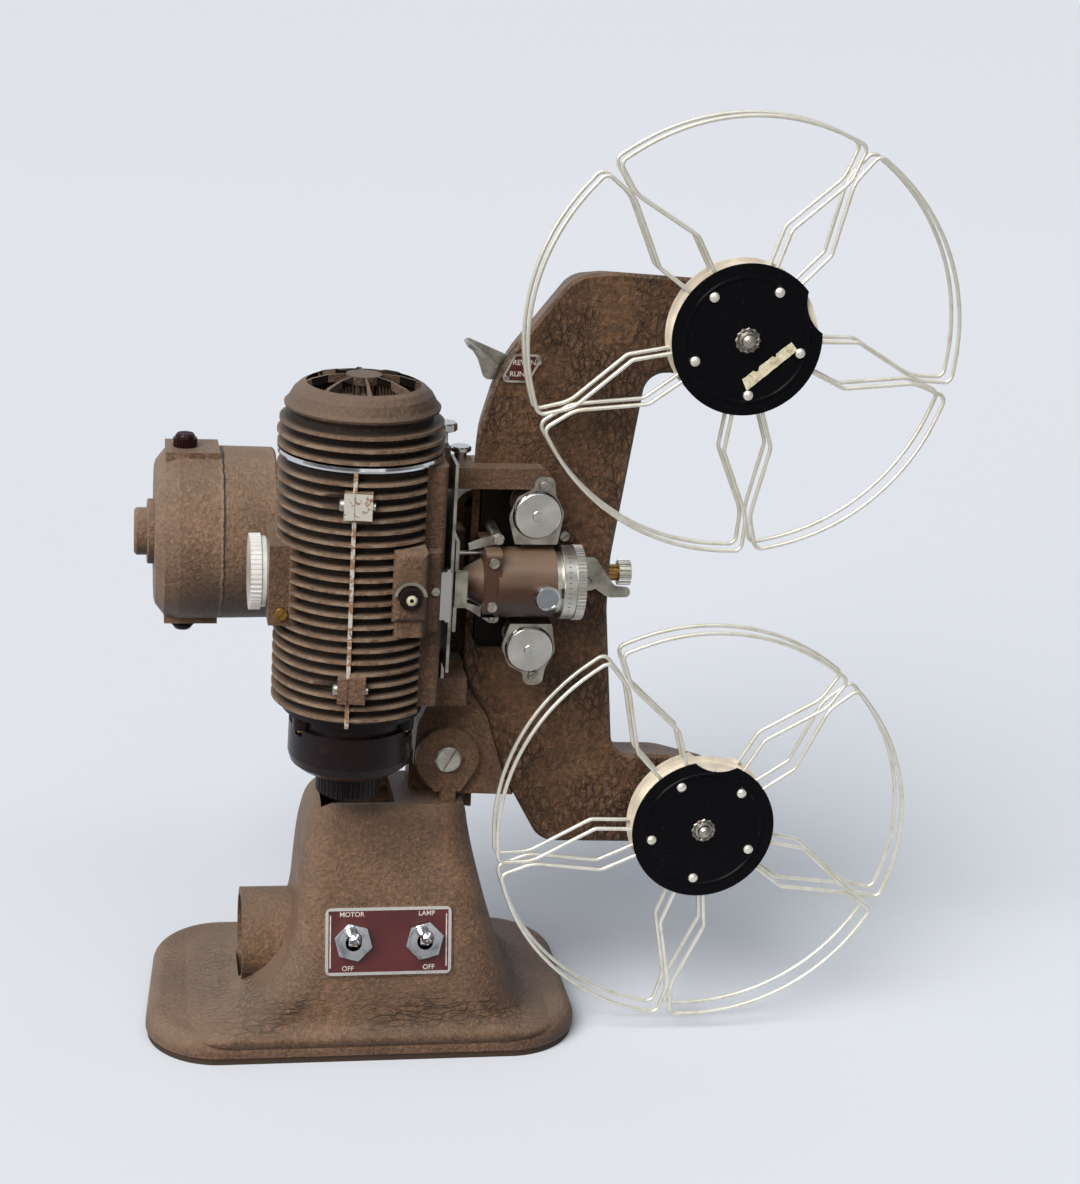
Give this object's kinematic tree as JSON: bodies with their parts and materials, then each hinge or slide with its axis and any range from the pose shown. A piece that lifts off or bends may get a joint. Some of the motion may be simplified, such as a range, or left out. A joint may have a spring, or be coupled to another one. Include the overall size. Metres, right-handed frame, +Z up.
{
  "type": "movie projector",
  "caption": "Table film projector with a tilting head, finned lamp house, rear motor, film gate, focusing lens, sprockets and wire reels.",
  "frame": {"origin": "centre of the underside of the base", "axes": "+X the way the lens points, -Y the reel side that faces the operator, +Z up"},
  "size_m": [0.3275, 0.138, 0.3982],
  "materials": {
    "hammertone_brown": "brown hammertone paint",
    "dark_hammertone": "dark brown hammertone paint",
    "smooth_brown": "smooth brown enamel",
    "bakelite": "dark brown moulded bakelite",
    "chrome": "chrome plate",
    "nickel_wire": "nickel plate",
    "black_enamel": "gloss black enamel",
    "cream_enamel": "pale silver lacquer",
    "steel": "plain steel",
    "aluminium": "turned aluminium",
    "brass": "dull brass",
    "glass": "clear glass",
    "mirror": "silvered glass",
    "nameplate_enamel": "maroon enamel in a silver border",
    "fibre_board": "pressed fibre board",
    "iron": "laminated iron and copper windings"
  },
  "bodies": {
    "base": {"base_casting": "hammertone_brown", "base_board": "fibre_board", "nameplate": "nameplate_enamel", "switches": "chrome", "power_inlet": "bakelite", "pivot_bolt": "steel"},
    "motor_switch": {"motor_switch_lever": "chrome"},
    "lamp_switch": {"lamp_switch_lever": "chrome"},
    "head": {"spine_casting": "dark_hammertone", "spine_covers": "dark_hammertone", "lamp_bracket": "hammertone_brown", "drive_housing": "hammertone_brown", "lamphouse_left_shell": "hammertone_brown", "lamphouse_right_shell": "hammertone_brown", "trim_ring": "chrome", "lamp_bulb": "glass", "lamp_base": "brass", "socket_flange": "bakelite", "socket_bowl": "bakelite", "motor_frame": "hammertone_brown", "motor_end_bell": "hammertone_brown", "brush_sets": "bakelite", "motor_field": "iron", "aperture_plate": "steel", "lens_mount": "smooth_brown", "gate_arms": "steel", "condenser_lens": "glass", "rewind_plate": "nameplate_enamel", "head_screws": "steel"},
    "cap": {"lamphouse_cap": "hammertone_brown"},
    "reflector": {"reflector_ring": "aluminium", "reflector_mirror": "mirror"},
    "lamp_socket_knob": {"socket_knob": "bakelite"},
    "main_drive": {"main_shaft": "steel", "armature": "iron"},
    "cam_drive": {"cam_shaft": "brass", "shutter_blade": "black_enamel"},
    "claw": {"claw_arm": "steel"},
    "upper_sprocket_drive": {"upper_sprocket": "aluminium"},
    "lower_sprocket_drive": {"lower_sprocket": "aluminium"},
    "idler": {"idler_gear": "steel"},
    "upper_guard": {"upper_film_guard": "steel"},
    "lower_guard": {"lower_film_guard": "steel"},
    "pressure": {"pressure_plate": "steel"},
    "lens": {"lens_tube": "aluminium", "lens_glasses": "glass"},
    "focus": {"focus_knob": "chrome"},
    "condenser_lock": {"condenser_knob": "bakelite"},
    "lamp_clamp": {"lamp_clamp_knob": "chrome"},
    "framing": {"framing_knob": "chrome"},
    "rewind": {"rewind_lever": "steel"},
    "clutch": {"clutch_lever": "steel"},
    "upper_reel": {"upper_spindle": "steel", "upper_reel_wires": "nickel_wire", "upper_reel_plates": "black_enamel", "upper_reel_drum": "cream_enamel"},
    "lower_reel": {"lower_spindle": "steel", "lower_reel_wires": "nickel_wire", "lower_reel_plates": "black_enamel", "lower_reel_drum": "cream_enamel"}
  },
  "joints": [
    {"name": "head_tilt", "type": "hinge", "parent": "base", "child": "head", "pos_m": [0.0332, 0, 0.1248], "axis": [0, -1, 0], "range_deg": [-3, 6]},
    {"name": "motor_toggle", "type": "hinge", "parent": "base", "child": "motor_switch", "pos_m": [-0.0059, -0.04686, 0.05148], "axis": [-1, 0, 0], "range_deg": [-32, 0]},
    {"name": "lamp_toggle", "type": "hinge", "parent": "base", "child": "lamp_switch", "pos_m": [0.0241, -0.04686, 0.05148], "axis": [-1, 0, 0], "range_deg": [-32, 0]},
    {"name": "cap_lift", "type": "slide", "parent": "head", "child": "cap", "axis": [0, 0, 1], "range_m": [0, 0.03]},
    {"name": "reflector_turn", "type": "hinge", "parent": "head", "child": "reflector", "pos_m": [-0.045, -0.033, 0.2095], "axis": [1, 0, 0], "range_deg": [-45, 45]},
    {"name": "socket_lock", "type": "hinge", "parent": "head", "child": "lamp_socket_knob", "pos_m": [-0.009, -0.033, 0.12], "axis": [0, 0, 1], "range_deg": [0, 90]},
    {"name": "main_spin", "type": "hinge", "parent": "head", "child": "main_drive", "pos_m": [0, 0.0305, 0.206], "axis": [1, 0, 0], "continuous": true},
    {"name": "cam_spin", "type": "hinge", "parent": "head", "child": "cam_drive", "pos_m": [0.06, -0.004, 0.2002], "axis": [1, 0, 0], "continuous": true},
    {"name": "claw_stroke", "type": "slide", "parent": "head", "child": "claw", "axis": [0, 0, 1], "range_m": [-0.0016, 0.0016]},
    {"name": "upper_sprocket_spin", "type": "hinge", "parent": "head", "child": "upper_sprocket_drive", "pos_m": [0.0624, 0, 0.2353], "axis": [0, 1, 0], "continuous": true},
    {"name": "lower_sprocket_spin", "type": "hinge", "parent": "head", "child": "lower_sprocket_drive", "pos_m": [0.0624, 0, 0.1783], "axis": [0, 1, 0], "continuous": true},
    {"name": "idler_spin", "type": "hinge", "parent": "head", "child": "idler", "pos_m": [0.0624, 0, 0.2068], "axis": [0, 1, 0], "continuous": true},
    {"name": "upper_guard_swing", "type": "hinge", "parent": "head", "child": "upper_guard", "pos_m": [0.0648, -0.037, 0.2474], "axis": [0, -1, 0], "range_deg": [0, 12]},
    {"name": "lower_guard_swing", "type": "hinge", "parent": "head", "child": "lower_guard", "pos_m": [0.0648, -0.037, 0.1662], "axis": [0, 1, 0], "range_deg": [0, 12]},
    {"name": "pressure_press", "type": "slide", "parent": "head", "child": "pressure", "axis": [1, 0, 0], "range_m": [0, 0.0015], "stiffness_N_per_m": 200, "springref_m": -0.003},
    {"name": "focus_slide", "type": "slide", "parent": "head", "child": "lens", "axis": [1, 0, 0], "range_m": [-0.0024, 0.0006]},
    {"name": "focus_turn", "type": "hinge", "parent": "head", "child": "focus", "pos_m": [0.0662, -0.05, 0.2046], "axis": [0, 1, 0], "range_deg": [-69, 17.5]},
    {"name": "condenser_lock_turn", "type": "hinge", "parent": "head", "child": "condenser_lock", "pos_m": [0.0089, -0.066, 0.21], "axis": [0, 1, 0], "range_deg": [-90, 90]},
    {"name": "lamp_clamp_turn", "type": "hinge", "parent": "head", "child": "lamp_clamp", "pos_m": [0.0266, -0.0155, 0.262], "axis": [0, 0, 1], "range_deg": [-180, 180]},
    {"name": "framing_turn", "type": "hinge", "parent": "head", "child": "framing", "pos_m": [0.0334, -0.0148, 0.255], "axis": [0, 0, 1], "range_deg": [-90, 90]},
    {"name": "rewind_shift", "type": "hinge", "parent": "head", "child": "rewind", "pos_m": [0.055, -0.015, 0.289], "axis": [0, 1, 0], "range_deg": [-10, 10]},
    {"name": "clutch_shift", "type": "hinge", "parent": "head", "child": "clutch", "pos_m": [0.0874, -0.022, 0.2018], "axis": [0, 1, 0], "range_deg": [0, 14]},
    {"name": "upper_reel_spin", "type": "hinge", "parent": "head", "child": "upper_reel", "pos_m": [0.1423, 0, 0.3092], "axis": [0, 1, 0], "continuous": true},
    {"name": "lower_reel_spin", "type": "hinge", "parent": "head", "child": "lower_reel", "pos_m": [0.1423, 0, 0.097], "axis": [0, 1, 0], "continuous": true}
  ],
  "couplings": [
    {"joint": "cam_spin", "follows": "main_spin", "ratio": -1.9167},
    {"joint": "lower_sprocket_spin", "follows": "main_spin", "ratio": -0.029412},
    {"joint": "upper_sprocket_spin", "follows": "main_spin", "ratio": -0.029412},
    {"joint": "idler_spin", "follows": "main_spin", "ratio": 0.029412},
    {"joint": "focus_turn", "follows": "focus_slide", "rad_per_m": 500}
  ]
}
